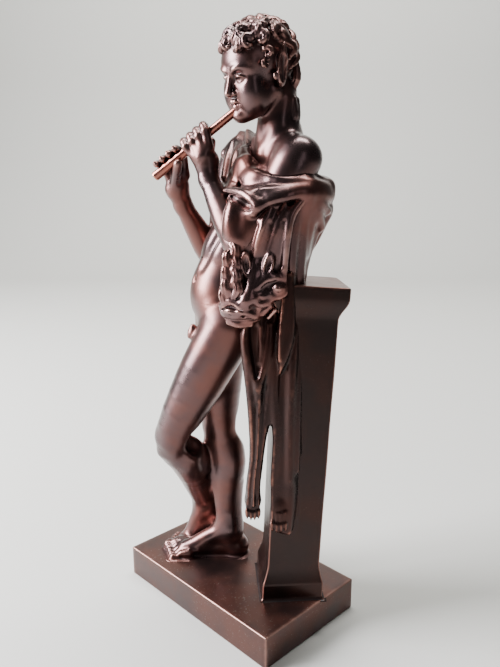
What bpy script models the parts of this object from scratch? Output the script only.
"""A small bronze of a young faun who plays a pipe and leans on a square pillar.

Figure, animal skin, pipe, pillar and plinth are one casting, so they are one closed solid.
The free forms are built up like wax on an armature: every rod, bead and plank below is a
distance field, the fields are melted together with a soft joint, and a mesh is drawn round
them. Their places are in thousandths of a metre at the real size, as shares of the figure's
height, from a point on the plinth's top. x runs to the figure's left, y to its back.
"""

import bmesh
import bpy
import numpy as np
from mathutils import Matrix, Vector

# The plinth, in metres
PLINTH_LENGTH = 0.109
PLINTH_DEPTH = 0.067
PLINTH_HEIGHT = 0.0172
PLINTH_EDGE = 0.0006

# The pillar: a block, a flare, a shaft that widens upwards and leans, and a moulded cap
PILLAR_HEIGHT = 0.1625
PILLAR_TURN = 49.6
PILLAR_LEAN = 0.0066
PILLAR_EDGE_GAP = 0.0004
BLOCK_WIDTH = 0.031
BLOCK_DEPTH = 0.034
BLOCK_HEIGHT = 0.0085
FLARE_HEIGHT = 0.0120
SHAFT_WIDTH = 0.0262
SHAFT_DEPTH = 0.0285
SHAFT_SPREAD = 0.0020
CAP_WIDTH = 0.0365
CAP_DEPTH = 0.0340
CAP_BAND = 0.0055
CAP_CURVE_HEIGHT = 0.0110
CAP_TILT = 4.0
FLARE_STEPS = 5

# The figure
FIGURE_HEIGHT = 0.282
SHARES = 282.0
FIGURE_FROM_PILLAR_X = -0.0312
FIGURE_FROM_PILLAR_Y = -0.0081
FOOT_FILLET = 3.0
SINK = 1.2
SAMPLE_STEP = 1.25
KEPT_FACES = 0.070

FAR = np.float32(1000.0)
BLOCK_CELLS = 8
CURVE_MARGIN = 0.2


def unit(vector):
    vector = np.asarray(vector, float)
    return vector / np.linalg.norm(vector)


def facing(front, up):
    """The left, back and up directions of a form that looks to its front."""
    back = -unit(front)
    left = unit(np.cross(back, up))
    return np.array([left, back, np.cross(left, back)])


def smooth_path(path, radii, steps):
    """Points and radii on a smooth curve through the given ones."""
    path = np.asarray(path, float)
    radii = np.broadcast_to(np.asarray(radii, float), len(path))
    rows = np.column_stack([path, radii])
    rows = np.vstack([2 * rows[0] - rows[1], rows, 2 * rows[-1] - rows[-2]])
    curve = []
    for before, start, end, after in zip(rows[:-3], rows[1:-2], rows[2:-1], rows[3:]):
        for t in np.arange(steps) / steps:
            bend = 2 * before - 5 * start + 4 * end - after
            twist = 3 * start - before - 3 * end + after
            curve.append(start + 0.5 * ((end - before) * t + bend * t**2 + twist * t**3))
    curve = np.array(curve + [rows[-2]])
    return curve[:, :3], np.maximum(curve[:, 3], 0.05)


class Wax:
    """Sample points, and the distance from each to the surface that is modelled so far."""

    def __init__(self, points, reach, box=None):
        self.points = points
        self.reach = reach
        self.distance = np.full(len(points), FAR, np.float32)
        self.low, self.high = box or (points.min(axis=0), points.max(axis=0))

    def fresh(self):
        """The same sample points with nothing modelled yet."""
        return Wax(self.points, self.reach, (self.low, self.high))

    def is_far(self, low, high, soft):
        gap = np.maximum(np.maximum(low - self.high, self.low - high), 0)
        return np.sqrt(gap @ gap) > soft + self.reach

    def join(self, other, soft):
        mine = self.distance
        fillet = 0
        if soft > 0:
            fillet = np.maximum(soft - np.abs(mine - other), 0) ** 2 / (4 * soft)
        mine[:] = np.minimum(mine, other) - fillet

    def cut(self, other, soft):
        mine = self.distance
        fillet = 0
        if soft > 0:
            fillet = np.maximum(soft - np.abs(mine + other), 0) ** 2 / (4 * soft)
        mine[:] = np.maximum(mine, -other) + fillet

    def rod(self, start, end, start_radius, end_radius, soft=0.0):
        start = np.asarray(start, np.float32)
        end = np.asarray(end, np.float32)
        radius = max(start_radius, end_radius)
        low = np.minimum(start, end) - radius
        high = np.maximum(start, end) + radius
        if self.is_far(low, high, soft):
            return
        along = end - start
        share = np.clip(((self.points - start) @ along) / (along @ along), 0, 1)
        off = self.points - start - share[:, None] * along
        radius = start_radius + (end_radius - start_radius) * share
        self.join(np.sqrt(np.einsum("ij,ij->i", off, off)) - radius, soft)

    def strand(self, path, radii, soft=0.0, steps=4, cut=False):
        """A round strip of wax along a smooth path."""
        path = np.asarray(path, float)
        margin = np.max(radii) + CURVE_MARGIN * np.abs(np.diff(path, axis=0)).max()
        if self.is_far(path.min(axis=0) - margin, path.max(axis=0) + margin, soft):
            return
        path, radii = smooth_path(path, radii, steps)
        strip = self.fresh()
        strip.reach = self.reach + soft
        for i in range(len(path) - 1):
            strip.rod(path[i], path[i + 1], radii[i], radii[i + 1])
        if cut:
            self.cut(strip.distance, soft)
        else:
            self.join(strip.distance, soft)

    def bead(self, centre, radii, soft=0.0, axes=None, cut=False):
        """An egg-shaped lump, in its own axes where they are given."""
        centre = np.asarray(centre, np.float32)
        radii = np.asarray(radii, np.float32)
        if self.is_far(centre - radii.max(), centre + radii.max(), soft):
            return
        off = self.points - centre
        if axes is not None:
            off = off @ np.float32(axes).T
        off = off / radii
        length = np.sqrt(np.einsum("ij,ij->i", off, off))
        off = off / radii
        slope = np.sqrt(np.einsum("ij,ij->i", off, off))
        lump = length * (length - 1) / np.maximum(slope, 1e-6)
        if cut:
            self.cut(lump, soft)
        else:
            self.join(lump, soft)

    def plank(self, start, end, halves, thick, face, soft=0.0):
        """A flat strip with rounded edges: its half widths at both ends, and its normal."""
        start = np.asarray(start, np.float32)
        end = np.asarray(end, np.float32)
        margin = max(halves)
        low = np.minimum(start, end) - margin
        high = np.maximum(start, end) + margin
        if self.is_far(low, high, soft):
            return
        length = np.linalg.norm(end - start)
        along = (end - start) / length
        face = np.asarray(face, np.float32)
        face = unit(face - along * (face @ along)).astype(np.float32)
        off = self.points - start
        travel = off @ along
        share = np.clip(travel / length, 0, 1)
        half = halves[0] + (halves[1] - halves[0]) * share - thick
        across = np.maximum(np.abs(off @ np.cross(along, face)) - half, 0)
        past = travel - np.clip(travel, 0, length)
        self.join(np.sqrt(across**2 + (off @ face) ** 2 + past**2) - thick, soft)


def same_side(values):
    """Moves the sign of a corner wherever two surfaces would meet in one cell's face."""
    changed = set()
    inside = values < 0
    for axis in range(3):
        one, two = [other + 1 for other in range(3) if other != axis]

        def shifted(first, second):
            pick = [slice(None)] * 4
            pick[one] = slice(1, None) if first else slice(None, -1)
            pick[two] = slice(1, None) if second else slice(None, -1)
            return inside[tuple(pick)]

        low, high = shifted(0, 0), shifted(1, 1)
        left, right = shifted(1, 0), shifted(0, 1)
        for spot in np.argwhere((low == high) & (left == right) & (low != left)):
            corner = spot.copy()
            if inside[tuple(spot)]:
                corner[one] += 1
            changed.add(tuple(corner))
    return sorted(changed)


def draw_mesh(recipe, low, high, step):
    """Vertices and four-sided faces round the zero of the recipe's distance."""
    low = np.asarray(low, float)
    blocks = np.ceil((np.asarray(high, float) - low) / step / BLOCK_CELLS).astype(int)
    dims = blocks * BLOCK_CELLS + 1
    size = BLOCK_CELLS * step
    reach = size * 0.5 * 3**0.5 * 1.25
    corner = np.stack(np.meshgrid(*[np.arange(BLOCK_CELLS + 1)] * 3, indexing="ij"), -1)
    values = []
    places = []
    near = np.stack(np.meshgrid(*[np.arange(2)] * 3, indexing="ij"), -1).reshape(-1, 3)
    for group in np.ndindex(*((blocks + 1) // 2)):
        place = np.array(group) * 2 + near
        close = np.abs(recipe(low + (place + 0.5) * size, reach)) < reach
        place = place[close & (place < blocks).all(axis=1)]
        if len(place) == 0:
            continue
        grid = (place[:, None] * BLOCK_CELLS + corner.reshape(-1, 3)).reshape(-1, 3)
        code, where = np.unique(grid @ (dims[1] * dims[2], dims[2], 1), return_inverse=True)
        grid = np.stack([code // (dims[1] * dims[2]), code // dims[2] % dims[1], code % dims[2]], -1)
        values.append(recipe(low + grid * step, 2 * step)[where.reshape(-1)])
        places.append(place)
    side = BLOCK_CELLS + 1
    values = np.concatenate(values).reshape(-1, side, side, side)
    places = np.concatenate(places)
    index = {tuple(place): i for i, place in enumerate(places)}
    for _ in range(8):
        spots = same_side(values)
        if not spots:
            break
        for spot in spots:
            grid = places[spot[0]] * BLOCK_CELLS + np.array(spot[1:])
            for shift in np.ndindex(2, 2, 2):
                place = grid // BLOCK_CELLS - np.array(shift)
                local = grid - place * BLOCK_CELLS
                block = index.get(tuple(place))
                if block is not None and (local <= BLOCK_CELLS).all():
                    values[(block, *local)] = -0.02 * step
    inside = values < 0
    corners = list(np.ndindex(2, 2, 2))
    count = 0
    for offset in corners:
        count = count + inside[(slice(None), *[slice(o, o + BLOCK_CELLS) for o in offset])]
    cell = np.argwhere((count > 0) & (count < 8))
    grid = places[cell[:, 0]] * BLOCK_CELLS + cell[:, 1:]
    strides = np.array([dims[1] * dims[2], dims[2], 1])
    code = grid @ strides
    at_corner = [values[(cell[:, 0], *(cell[:, 1:] + offset).T)] for offset in corners]
    total = np.zeros((len(cell), 3))
    crossings = np.zeros(len(cell))
    for i in range(8):
        for j in range(i + 1, 8):
            edge = np.subtract(corners[j], corners[i])
            if np.abs(edge).sum() != 1:
                continue
            crossed = (at_corner[i] < 0) != (at_corner[j] < 0)
            share = at_corner[i] / np.where(crossed, at_corner[i] - at_corner[j], 1)
            total += np.where(crossed[:, None], corners[i] + share[:, None] * edge, 0)
            crossings += crossed
    vertices = low + (grid + total / crossings[:, None]) * step
    order = np.argsort(code)
    ranked = code[order]

    def vertex_of(wanted):
        place = np.minimum(np.searchsorted(ranked, wanted), len(ranked) - 1)
        return np.where(ranked[place] == wanted, order[place], -1)

    faces = []
    for axis, (one, two) in enumerate(((1, 2), (2, 0), (0, 1))):
        end = at_corner[4 >> axis]
        crossed = (at_corner[0] < 0) != (end < 0)
        here = code[crossed]
        ring = (here, here - strides[one], here - strides[one] - strides[two], here - strides[two])
        quads = np.stack([vertex_of(wanted) for wanted in ring], -1)
        outward = at_corner[0][crossed] >= 0
        quads[outward] = quads[outward][:, ::-1]
        faces.append(quads[(quads >= 0).all(axis=1)])
    return vertices, np.concatenate(faces)


# Joints of the figure
PELVIS = np.array([-6.5, -4.0, 148.0])
WAIST = np.array([-4.0, -2.5, 169.0])
CHEST = np.array([9.0, 5.0, 196.5])
NECK_BASE = np.array([15.5, 14.0, 224.0])
NECK_TOP = np.array([15.0, 13.5, 240.0])
HEAD = np.array([10.3, 5.2, 258.8])
HEAD_SCALE = 0.88
LEFT_LEG = np.array([[4.5, -8.0, 139.0], [-19.5, -27.0, 77.5], [-29.5, 2.5, 24.5]])
RIGHT_LEG = np.array([[-15.5, 4.0, 137.5], [-15.0, 2.0, 77.0], [-10.5, 3.5, 16.0]])
LEFT_ARM = np.array([[34.0, 8.0, 218.5], [19.5, -17.0, 181.0], [-2.5, -15.0, 209.5]])
RIGHT_ARM = np.array([[-16.5, 19.0, 217.5], [-25.0, 8.5, 166.0], [-26.5, -11.5, 196.5]])
PIPE_MOUTH = np.array([8.0, -4.5, 241.5])
PIPE_END = np.array([-29.0, -26.5, 210.5])
PELVIS_AXES = facing((-0.41, -0.91, 0.0), (0.0, 0.0, 1.0))
WAIST_AXES = facing((-0.25, -0.97, -0.1), (0.4, 0.25, 0.9))
CHEST_AXES = facing((-0.08, -0.99, 0.25), (0.2, 0.3, 0.93))
HEAD_AXES = facing((-0.16, -0.95, -0.25), (0.05, 0.0, 1.0))
PIPE_RADIUS = 2.2


def at(centre, axes, left, back, up):
    return centre + np.array([left, back, up]) @ axes


def torso(wax):
    wax.bead(PELVIS + (0, 0, 2), (18.5, 14.5, 17), 0, PELVIS_AXES)
    wax.bead(WAIST, (16.0, 12.0, 21), 9, WAIST_AXES)
    wax.bead(at(PELVIS, PELVIS_AXES, 0, -4.0, 6), (12.5, 9.5, 14), 7, PELVIS_AXES)
    wax.bead(CHEST, (19.5, 14.0, 22), 9, CHEST_AXES)
    for side in (-1, 1):
        wax.bead(at(CHEST, CHEST_AXES, 8.5 * side, -8.0, 7), (9.5, 6.5, 7.5), 5, CHEST_AXES)
        wax.bead(at(CHEST, CHEST_AXES, 9.5 * side, 8.0, 6), (9, 6, 13), 6, CHEST_AXES)
        wax.bead(at(PELVIS, PELVIS_AXES, 9.5 * side, 8.5, -6), (10.5, 9.5, 11.5), 5, PELVIS_AXES)
    for shoulder in (LEFT_ARM[0], RIGHT_ARM[0]):
        wax.rod(NECK_BASE + (0, 0, -3), shoulder, 8.5, 8.0, 7)
    throat = [NECK_BASE + (0, 1, -5), (NECK_BASE + NECK_TOP) / 2, NECK_TOP + (0, 0, 6)]
    wax.strand(throat, (10, 8.8, 9.0), 6)


def leg(wax, joints, knee_front):
    hip, knee, ankle = joints
    calf = knee * 0.66 + ankle * 0.34 - knee_front * 2.6
    shin = knee * 0.3 + ankle * 0.7 - knee_front * 0.6
    path = [hip, hip * 0.5 + knee * 0.5 + knee_front * 1.2, knee, calf, shin, ankle]
    wax.strand(path, (14.0, 12.8, 9.4, 9.4, 7.0, 5.6), 6)
    wax.bead(knee + knee_front * 2.6, (7.4, 7.4, 8.4), 4)


def arm(wax, joints):
    shoulder, elbow, wrist = joints
    upper = shoulder * 0.5 + elbow * 0.5
    lower = elbow * 0.68 + wrist * 0.32
    wax.strand([shoulder, upper, elbow], (9.6, 8.0, 6.3), 6)
    wax.strand([elbow, lower, wrist], (6.3, 6.9, 4.3), 3)


def foot(wax, ankle, toes, inner_side, heel_lift):
    """Heel, instep, ball and five toes, the big toe on the inner side."""
    forward = unit((toes - ankle) * (1, 1, 0))
    inner = np.array([forward[1], -forward[0], 0.0]) * inner_side
    ball = toes - forward * 11.0 + (0, 0, 0.6)
    heel = ankle - forward * 5.0
    heel[2] = 5.0 + heel_lift
    wax.strand([ankle + (0, 0, 4), (ankle + heel) / 2, heel], (5.6, 5.6, 5.6), 5)
    wax.strand([ankle, ankle * 0.5 + ball * 0.5 + (0, 0, 0.6), ball], (5.6, 4.7, 3.6), 5)
    wax.rod(heel, ball, 4.8, 3.8, 4)
    for number in range(5):
        aside = inner * (5.4 - 2.7 * number)
        short = forward * (0.9 * number)
        root = ball + aside * 0.85 - forward * 1.5
        width = 2.4 - 0.45 * min(number, 1) - 0.12 * number
        knuckle = toes + aside - short - forward * 4.5
        knuckle[2] = width + 1.0
        tip = toes + aside - short
        tip[2] = width
        wax.strand([root, knuckle, tip], (3.2, width, width * 0.9), 1.4)


def hand(wax, wrist, palm, side, first, spacing):
    """Four fingers that lie over the pipe from one side, and a thumb below it."""
    along = unit(PIPE_END - PIPE_MOUTH)
    up = unit(np.array([0, 0, 1.0]) - along * along[2])
    out = np.cross(up, along) * side
    wax.strand([wrist, palm - along * 1.0], (4.3, 5.4), 3)
    grip = 0
    for number in range(4):
        centre = PIPE_MOUTH + along * (first + spacing * number)
        knuckle = centre * 0.62 + palm * 0.38 + out * 3.4 - up * 3.0
        grip = grip + knuckle / 4
        width = 1.95 - 0.1 * abs(number - 1)
        joints = [knuckle, centre + out * 4.3 + up * 0.6, centre + out * 2.0 + up * 3.9,
                  centre - out * 1.4 + up * 4.0]
        wax.strand(joints, (2.5, width, width, width * 0.8), 1.2)
    wax.rod(palm, grip, 5.2, 4.4, 3)
    wax.rod(palm, PIPE_MOUTH + along * (first + spacing * 1.5), 4.6, 2.6, 2)
    middle = PIPE_MOUTH + along * (first + spacing * 0.6)
    thumb = [palm - out * 2.5, middle - out * 3.6 - up * 3.2, middle - out * 1.2 - up * 4.2 + along * 2]
    wax.strand(thumb, (2.6, 2.1, 1.8), 1.5)


def skull_point(turn, rise, lift):
    """A point over the skull: turn from the front towards the left ear, and rise above it."""
    turn, rise = np.radians((turn, rise))
    radii = np.array([17.6, 19.8, 18.0]) + lift
    way = np.array([np.sin(turn) * np.cos(rise), -np.cos(turn) * np.cos(rise), np.sin(rise)])
    return way * radii + (0, 2.2, 5.2)


def near_ear(turn, rise):
    return 62 < abs(turn) < 116 and rise < 14


def hair(head):
    """Short waved locks in rings that step down from the crown, and a fringe of curls."""
    rings = ((74, 6, 0), (53, 10, 11), (33, 13, 0), (14, 14, 12), (-6, 15, 0), (-24, 14, 9))
    for rise, count, shift in rings:
        for number in range(count):
            turn = (360 * number / count + shift + 180) % 360 - 180
            if near_ear(turn, rise) or (abs(turn) < 66 and rise < 30):
                continue
            swing = (10 if number % 2 else -7) / max(np.cos(np.radians(rise)), 0.4)
            head.strand(
                [skull_point(turn, rise + 13, -1.4), skull_point(turn + swing, rise + 3, 0.7),
                 skull_point(turn - swing * 0.2, rise - 7, 1.1),
                 skull_point(turn + swing * 0.8, rise - 15, -0.6)],
                (2.2, 3.0, 2.7, 1.2), 0.8)
    for number in range(8):
        turn = -63 + 18 * number
        head.strand(
            [skull_point(turn + 3, 46, -0.5), skull_point(turn + 9, 31, 1.4), skull_point(turn, 23, 1.6),
             skull_point(turn - 5, 30, 1.2)], (2.4, 3.0, 2.5, 1.5), 0.8)
    for number in range(5):
        aside = 4.2 * (number - 2)
        head.strand(
            [(aside * 1.3, 18.5, -4), (aside * 1.2 + 1.0, 18.0, -11), (aside, 15.5, -17.5),
             (aside - 1.0, 15.6, -22.5)],
            (2.6, 3.2, 2.8, 1.2), 1.2)
    for side in (-1, 1):
        head.strand(
            [(16.4 * side, -5.5, 5.5), (17.0 * side, -7.2, 0.5), (16.4 * side, -6.0, -4.5),
             (15.8 * side, -7.4, -6.5)],
            (1.3, 2.0, 1.5, 0.8), 0.8)


def head_form(wax):
    """The head in its own axes, larger than life by one over its scale."""
    from_head = (wax.points - np.float32(HEAD)) @ np.float32(HEAD_AXES / HEAD_SCALE).T
    head = Wax(from_head, wax.reach / HEAD_SCALE + 4)
    head.bead((0, 2.0, 5.0), (17.0, 19.4, 17.8))
    face = head.fresh()
    face.bead((0, -6.5, -8.0), (12.4, 11.5, 14.5))
    face.bead((0, -10.5, 4.5), (13.2, 8.0, 10.5), 4)
    jaw = [(-10.5, -0.5, -11), (-6, -10, -18.0), (0, -14, -20), (6, -10, -18.0), (10.5, -0.5, -11)]
    face.strand(jaw, (4.6, 4.0, 4.2, 4.0, 4.6), 4)
    for side in (-1, 1):
        face.bead((8.0 * side, -12.5, -8.5), (5.0, 5.0, 5.6), 4)
        face.bead((6.2 * side, -18.4, -1.4), (4.2, 2.9, 2.4), 2.2, cut=True)
        face.bead((6.0 * side, -13.9, -1.6), (3.6, 3.3, 3.0), 0.6)
        brow = [(1.8 * side, -18.0, 2.2), (6.4 * side, -17.2, 3.4), (10.8 * side, -13.4, 1.6)]
        face.strand(brow, (1.2, 1.3, 1.0), 2)
    face.strand([(0, -17.4, 1.5), (0, -19.6, -4), (0, -21.4, -8.2)], (1.5, 1.6, 2.2), 2)
    face.bead((0, -19.8, -8.9), (3.2, 2.2, 1.6), 1.2)
    face.strand([(-4.0, -16.6, -13.2), (0, -18.9, -12.8), (4.0, -16.6, -13.2)], (0.8, 1.4, 0.8), 1.0)
    face.strand([(-3.2, -16.4, -14.9), (0, -18.2, -15.4), (3.2, -16.4, -14.9)], (0.8, 1.4, 0.8), 1.0)
    face.bead((0, -16.6, -20.0), (4.4, 3.8, 3.6), 2.5)
    head.join(face.distance, 4)
    hair(head)
    for side in (-1, 1):
        axes = facing((0.45 * side, -1, 0.05), (0.16 * side, 0.12, 1))
        head.bead((17.2 * side, 1.6, -1.0), (2.6, 4.2, 9.0), 1.0, axes)
        head.rod((18.0 * side, 2.0, 4.5), (20.2 * side, 4.0, 12.0), 3.0, 0.7, 1.2)
        head.bead((20.2 * side, 0.2, 0.2), (1.7, 2.1, 7.0), 0.7, axes, cut=True)
    wax.join(head.distance * np.float32(HEAD_SCALE), 2)


# The animal's skin: bands over the shoulders, a front flap with the mask, a cape and two legs
OUTWARD = np.array([0.70, -0.71, 0.05])
SIDEWAYS = np.array([0.71, 0.70, 0.0])


def skin_bands(wax):
    """The broad band from the far shoulder over the chest and round the near arm to the back."""
    band = [(-13, 22, 225), (-15, 10, 224), (-7, 1, 218), (9, -5, 210), (22, -7, 205),
            (34, -4, 204.5), (40.5, 2.5, 205), (41.5, 12, 204), (36.5, 20, 202)]
    wax.strand(band, (4.2, 3.6, 3.4, 3.8, 4.6, 4.8, 4.8, 5.0, 4.6), 3, 3)
    across = [(36.5, 20, 202), (25, 27, 205), (10, 28, 213), (-4, 27, 222), (-13, 22, 225)]
    wax.strand(across, (4.6, 4.2, 4.0, 4.0, 4.2), 3, 3)
    roll = [(-9, -1, 213), (2, -8, 205), (13, -12, 200.5), (26, -13.5, 198.5), (36, -8, 200.5),
            (43, 1, 201), (43.5, 12, 199)]
    wax.strand(roll, (2.4, 2.6, 2.8, 2.6, 2.2, 2.6, 3.0), 2)
    edge = [(-4, 6, 222), (4, 1.5, 217), (14, 1, 213), (30, -1, 212), (40, 3, 211), (44, 12, 208)]
    wax.strand(edge, (1.2, 1.4, 1.6, 1.7, 1.7, 1.9), 1.5)
    for start, bend, end in (((-11, 2, 223), (-5, -4, 214), (1, -8, 207)),
                             ((-7, 4, 223), (-1, -2, 214), (4, -8, 205))):
        wax.strand([start, bend, end], (1.0, 1.7, 1.1), 1.2)


def skin_over_arm(wax):
    """The part that wraps the near upper arm and elbow, with the loose fold under the band."""
    wax.strand([(36, 4, 206), (30, -6, 196), (22, -16, 185)], (9.5, 9.6, 8.4), 4)
    wax.strand([(24, -15, 187), (12, -17, 190), (5, -14.5, 196)], (8.2, 6.6, 5.2), 4)
    wax.strand([(9, -14, 201), (17, -19, 197.5), (26, -19.5, 193)], (1.6, 2.2, 1.2), 1.2)
    wax.strand([(27, -18.5, 192.5), (33, -13.5, 196.5), (41, -5, 200.5)], (1.2, 1.9, 2.0), 1.6)


def skin_flap(wax):
    """The front flap, and the mask with two ears that lies at its foot."""
    flap = wax.fresh()
    flap.plank((28.5, -15, 190), (24, -16.5, 150), (11, 14.0), 2.6, OUTWARD + (-0.2, -0.2, 0), 2)
    flap.plank((15, -20, 184), (11.5, -18, 152), (6, 7), 2.4, (0.1, -1, 0), 3)
    wax.join(flap.distance, 2)
    wax.strand([(38, -9, 196), (37, -11, 184), (37, -10.5, 158)], (1.8, 1.7, 1.5), 1.4)
    wax.strand([(20, -20.5, 186), (18, -21, 174), (15, -21, 160)], (1.2, 1.8, 1.2), 2)
    wax.bead((22, -19, 151.5), (13.5, 6.5, 6.0), 2.5, facing(OUTWARD, (0.1, 0.1, 1)))
    wax.bead((14.5, -21.5, 147.5), (8.5, 5.2, 4.8), 2, facing((0.3, -1, 0), (0, 0, 1)))
    wax.strand([(27.5, -18, 160), (31, -15, 163), (36, -10.5, 162.5)], (1.5, 2.2, 2.0), 1.5)
    wax.bead((36, -9.5, 159), (4.2, 3.6, 3.8), 1.5)
    wax.bead((13.5, -20.5, 167), (3.6, 3.0, 10), 1.5, facing((0.4, -1, 0), (0.1, 0, 1)))
    for centre, lean in (((24, -19.5, 172), -0.15), ((34, -13, 171.5), 0.2)):
        wax.bead(centre, (2.6, 1.8, 5.6), 0.7, facing(OUTWARD, SIDEWAYS * lean + (0, 0, 1)))


def skin_cape(wax):
    """The back of the skin: one sheet that hangs in folds from the shoulders to the pillar's cap."""
    cape = wax.fresh()
    back = (0.25, 1, 0.1)
    cape.plank((4, 25, 218), (14, 23, 184), (17, 17), 2.8, back)
    cape.plank((14, 24, 188), (22, 21, 158), (17, 13), 2.8, back, 5)
    cape.plank((26, 25, 206), (26, 22, 168), (13, 13), 3.0, (0.35, 1, 0.1), 5)
    cape.plank((35, 17, 203), (28, 14, 166), (7.5, 7), 3.6, (1, 0.5, 0.1), 5)
    cape.plank((38.5, 5, 203), (36, 0, 160), (8.5, 6), 3.0, (0.9, -0.45, 0.1), 4)
    wax.join(cape.distance, 4)
    rim = [(42, 11, 203), (40.5, 14, 197), (35.5, 16.5, 190), (31.5, 14.5, 179), (27.5, 11, 166)]
    wax.strand(rim, (4.6, 4.4, 4.4, 3.4, 2.8), 3)
    wax.strand([(41, 6, 202), (41.5, 8, 194), (37.5, 9, 182), (32, 6, 164)], (2.0, 2.4, 2.2, 1.4), 2)
    for number in range(5):
        top = np.array([-8 + 10 * number, 28.5 - 0.4 * number, 216.0 - 2.5 * number])
        foot_point = np.array([10 + 6 * number, 24.0 - 1.2 * number, 160.0])
        middle = (top + foot_point) / 2 + (2.5 - number, 1.0, 0)
        wax.strand([top, middle, foot_point], (1.8, 2.4, 1.4), 3)


def skin_legs(wax):
    """Two legs of the skin that hang beside the pillar, each down to its paw."""
    broad = wax.fresh()
    near = [(37, 4, 180), (42.5, -4.5, 142), (43.6, -6.2, 106), (43.8, -7.5, 62)]
    for number, halves in enumerate(((2.5, 7.0), (7.0, 8.0), (8.0, 7.4))):
        broad.plank(near[number], near[number + 1], halves, 2.8, OUTWARD, 2)
    wax.join(broad.distance, 2)
    edge = [(36.5, -11.5, 150), (37, -12.5, 118), (38, -12.8, 86), (38.8, -12.5, 62)]
    wax.strand(edge, (1.6, 1.8, 1.7, 1.6), 1.6)
    wax.strand([(44.5, -5, 160), (46, -7.5, 138), (45, -8.5, 117)], (1.4, 2.6, 1.2), 1.8)
    wax.strand([(40.5, -8, 158), (41.5, -10, 136), (43, -9.5, 116)], (1.2, 1.9, 0.9), 1.4)
    wax.strand([(47, -3, 128), (47.5, -4.5, 96), (46.5, -6, 66)], (1.4, 2.0, 1.3), 1.8)
    wax.plank((33, 3, 176), (35.5, -6, 118), (3.0, 6.0), 2.8, OUTWARD, 3)
    wax.plank((35.5, -6, 120), (36, -9, 94), (5.5, 2.4), 2.4, OUTWARD, 3)
    front = [(31, -13.5, 148), (30.5, -15.5, 112), (29.5, -16.5, 88), (29, -17.5, 62)]
    for number, halves in enumerate(((7.6, 5.2), (5.2, 4.4), (4.4, 3.6))):
        wax.plank(front[number], front[number + 1], halves, 2.1, OUTWARD, 2)
    wax.strand([(27, -19, 146), (29.5, -18.5, 128), (33, -15.5, 116)], (1.3, 1.9, 1.0), 1.4)
    wax.strand([(36.5, -12, 144), (36, -13, 128), (33.5, -15, 115)], (1.3, 1.7, 1.0), 1.4)
    wax.strand([(34, -14, 112), (33, -15.5, 88), (31.6, -16.6, 64)], (1.0, 1.3, 1.0), 1.2)
    for centre, width, length in ((np.array([42, -10.5, 50.0]), 5.6, 8.5),
                                  (np.array([28.6, -18.5, 53.0]), 3.9, 6.5)):
        wax.bead(centre + (0.6, 0.6, 4), (width, 3.4, length), 2, facing(OUTWARD, (0.12, 0.12, 1)))
        for number in range(4):
            aside = SIDEWAYS * width * (number - 1.5) * 0.48
            rise = 0.5 * number - 2.5
            toe = centre + aside + OUTWARD * 1.0 + (0, 0, rise)
            wax.bead(toe, (1.6, 2.1, 3.2), 0.7, facing(OUTWARD, (0, 0, 1)))


def figure(points, reach):
    """The distance to the whole figure, in shares of its height, from the plinth's top."""
    wax = Wax(points.astype(np.float32), reach)
    torso(wax)
    leg(wax, LEFT_LEG, unit((-0.75, -0.65, 0.15)))
    leg(wax, RIGHT_LEG, unit((-0.55, -0.83, 0.0)))
    arm(wax, LEFT_ARM)
    arm(wax, RIGHT_ARM)
    foot(wax, RIGHT_LEG[2], np.array([-35.0, -22.5, 2.4]), 1, 0.0)
    foot(wax, LEFT_LEG[2], np.array([-43.5, -13.0, 2.4]), -1, 9.5)
    groin = at(PELVIS, PELVIS_AXES, 0.5, -15.5, -12.0)
    wax.bead(groin + (0, 0, -2.5), (3.0, 2.6, 3.4), 1.5)
    wax.strand([groin + (0, 0, 1), groin + (-0.8, -1.6, -4.0)], (1.5, 1.2), 0.8)
    head_form(wax)
    skin_cape(wax)
    skin_over_arm(wax)
    skin_bands(wax)
    skin_flap(wax)
    skin_legs(wax)
    pipe = wax.fresh()
    pipe.rod(PIPE_MOUTH, PIPE_END, 1.9, 2.3)
    wax.join(pipe.distance, 0.4)
    hand(wax, LEFT_ARM[2], np.array([-4.5, -15.0, 217.5]), 1, 18.5, 4.0)
    hand(wax, RIGHT_ARM[2], np.array([-26.5, -15.5, 204.5]), -1, 36.5, 4.0)
    floor = wax.points[:, 2] + np.float32(0.05)
    figure_alone = wax.distance.copy()
    wax.join(floor, FOOT_FILLET)
    wax.distance[:] = np.maximum(wax.distance, figure_alone - FOOT_FILLET)
    wax.distance[:] = np.maximum(wax.distance, -wax.points[:, 2] - SINK)
    return wax.distance


def bronze():
    """Dark brown patinated bronze."""
    material = bpy.data.materials.new("patinated_bronze")
    material.use_nodes = True
    shader = material.node_tree.nodes["Principled BSDF"]
    shader.inputs["Base Color"].default_value = (0.105, 0.052, 0.038, 1.0)
    shader.inputs["Metallic"].default_value = 0.85
    shader.inputs["Roughness"].default_value = 0.32
    return material


def add_object(name, mesh):
    body = bpy.data.objects.new(name, mesh)
    bpy.context.scene.collection.objects.link(body)
    return body


def plinth_core():
    mesh = bpy.data.meshes.new("plinth_core")
    shape = bmesh.new()
    bmesh.ops.create_cube(shape, size=1.0)
    bmesh.ops.scale(shape, vec=(PLINTH_LENGTH, PLINTH_DEPTH, PLINTH_HEIGHT), verts=shape.verts)
    bmesh.ops.translate(shape, vec=(0, 0, PLINTH_HEIGHT / 2), verts=shape.verts)
    upright = [edge for edge in shape.edges if abs(edge.verts[0].co.z - edge.verts[1].co.z) > 0.001]
    upper = [edge for edge in shape.edges if min(v.co.z for v in edge.verts) > PLINTH_HEIGHT / 2]
    bmesh.ops.bevel(shape, geom=upright + upper, offset=PLINTH_EDGE, segments=1, affect="EDGES")
    shape.to_mesh(mesh)
    shape.free()
    return add_object("plinth_core", mesh)


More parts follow.
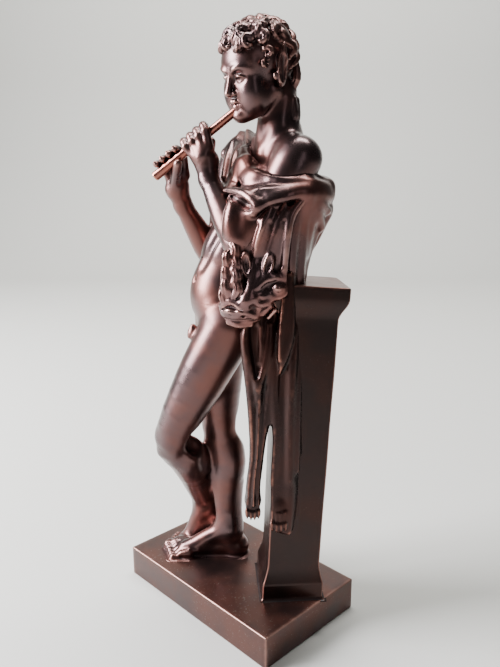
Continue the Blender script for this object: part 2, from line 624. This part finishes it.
def pillar_place():
    """The pillar's foot stands with one corner just inside the plinth's left end."""
    turn = np.radians(PILLAR_TURN)
    reach = BLOCK_WIDTH / 2 * np.cos(turn) + BLOCK_DEPTH / 2 * np.sin(turn)
    x = PLINTH_LENGTH / 2 - PILLAR_EDGE_GAP - reach
    corner_back = BLOCK_WIDTH / 2 * np.sin(turn) + BLOCK_DEPTH / 2 * np.cos(turn)
    y = PLINTH_DEPTH / 2 - PILLAR_EDGE_GAP - corner_back - 0.0025
    return x, y


def pillar_core():
    """A loft of rectangles: half sizes grow from the shaft's by the same amount all round."""
    top = PILLAR_HEIGHT
    block_over = (BLOCK_WIDTH - SHAFT_WIDTH) / 2
    cap_over = (CAP_WIDTH - SHAFT_WIDTH - SHAFT_SPREAD) / 2
    levels = [(-0.001, block_over), (BLOCK_HEIGHT, block_over)]
    for step in range(1, FLARE_STEPS + 1):
        share = step / FLARE_STEPS
        levels.append((BLOCK_HEIGHT + FLARE_HEIGHT * share, block_over * (1 - np.sin(share * np.pi / 2))))
    curve_foot = top - CAP_BAND - CAP_CURVE_HEIGHT
    for step in range(FLARE_STEPS + 1):
        share = step / FLARE_STEPS
        rise = 0.5 - 0.5 * np.cos(share * np.pi)
        levels.append((curve_foot + CAP_CURVE_HEIGHT * share, cap_over * rise))
    levels.append((top - PLINTH_EDGE, cap_over))
    levels.append((top, cap_over - PLINTH_EDGE))
    shape = bmesh.new()
    rings = []
    for height, over in levels:
        share = max(height, 0) / top
        spread = SHAFT_SPREAD / 2 * share
        is_cap = height > top / 2
        depth_over = over * (CAP_DEPTH - SHAFT_DEPTH) / (CAP_WIDTH - SHAFT_WIDTH) if is_cap else over
        half_x = SHAFT_WIDTH / 2 + spread + over
        half_y = SHAFT_DEPTH / 2 + depth_over
        tilt = np.tan(np.radians(CAP_TILT)) * share**3
        ring = []
        for sign_x, sign_y in ((-1, -1), (1, -1), (1, 1), (-1, 1)):
            x = sign_x * half_x + PILLAR_LEAN * share
            ring.append(shape.verts.new((x, sign_y * half_y, height - tilt * sign_x * half_x)))
        rings.append(ring)
    for below, above in zip(rings[:-1], rings[1:]):
        for side in range(4):
            after = (side + 1) % 4
            shape.faces.new((below[side], below[after], above[after], above[side]))
    shape.faces.new(rings[0][::-1])
    shape.faces.new(rings[-1])
    mesh = bpy.data.meshes.new("pillar_core")
    x, y = pillar_place()
    turn = Matrix.Rotation(np.radians(PILLAR_TURN), 4, "Z")
    place = Matrix.Translation(Vector((x, y, PLINTH_HEIGHT))) @ turn
    bmesh.ops.transform(shape, matrix=place, verts=shape.verts)
    shape.to_mesh(mesh)
    shape.free()
    return add_object("pillar_core", mesh)


def fewer_faces(mesh):
    """The same form with the faces that its shape needs."""
    draft = add_object("draft", mesh)
    draft.modifiers.new("fewer faces", "DECIMATE").ratio = KEPT_FACES
    graph = bpy.context.evaluated_depsgraph_get()
    thinned = bpy.data.meshes.new_from_object(draft.evaluated_get(graph))
    bpy.data.objects.remove(draft, do_unlink=True)
    return thinned


def keep_outer_skin(mesh):
    """Leaves out pockets sealed inside the wax, and specks that hang on by a corner."""
    shape = bmesh.new()
    shape.from_mesh(mesh)
    unseen = set(shape.faces)
    skins = []
    while unseen:
        skin = [unseen.pop()]
        for face in skin:
            near = {other for edge in face.edges for other in edge.link_faces} & unseen
            unseen -= near
            skin.extend(near)
        skins.append(skin)
    outer = set(max(skins, key=len))
    bmesh.ops.delete(shape, geom=[face for face in shape.faces if face not in outer], context="FACES")
    shape.to_mesh(mesh)
    shape.free()


def figure_mesh():
    scale = FIGURE_HEIGHT / SHARES
    vertices, faces = draw_mesh(figure, (-58, -40, -3), (58, 42, 288), SAMPLE_STEP)
    x, y = pillar_place()
    origin = np.array([x + FIGURE_FROM_PILLAR_X, y + FIGURE_FROM_PILLAR_Y, PLINTH_HEIGHT])
    mesh = bpy.data.meshes.new("figure")
    mesh.from_pydata((vertices * scale + origin).tolist(), [], faces.tolist())
    mesh = fewer_faces(mesh)
    keep_outer_skin(mesh)
    mesh.shade_smooth()
    return mesh


def main():
    for old in list(bpy.data.objects):
        bpy.data.objects.remove(old, do_unlink=True)
    statue = add_object("faun_statue", figure_mesh())
    statue.data.materials.append(bronze())
    for core in (plinth_core(), pillar_core()):
        core.hide_render = True
        core.display_type = "WIRE"
        cast = statue.modifiers.new("cast with " + core.name, "BOOLEAN")
        cast.operation = "UNION"
        cast.object = core


main()
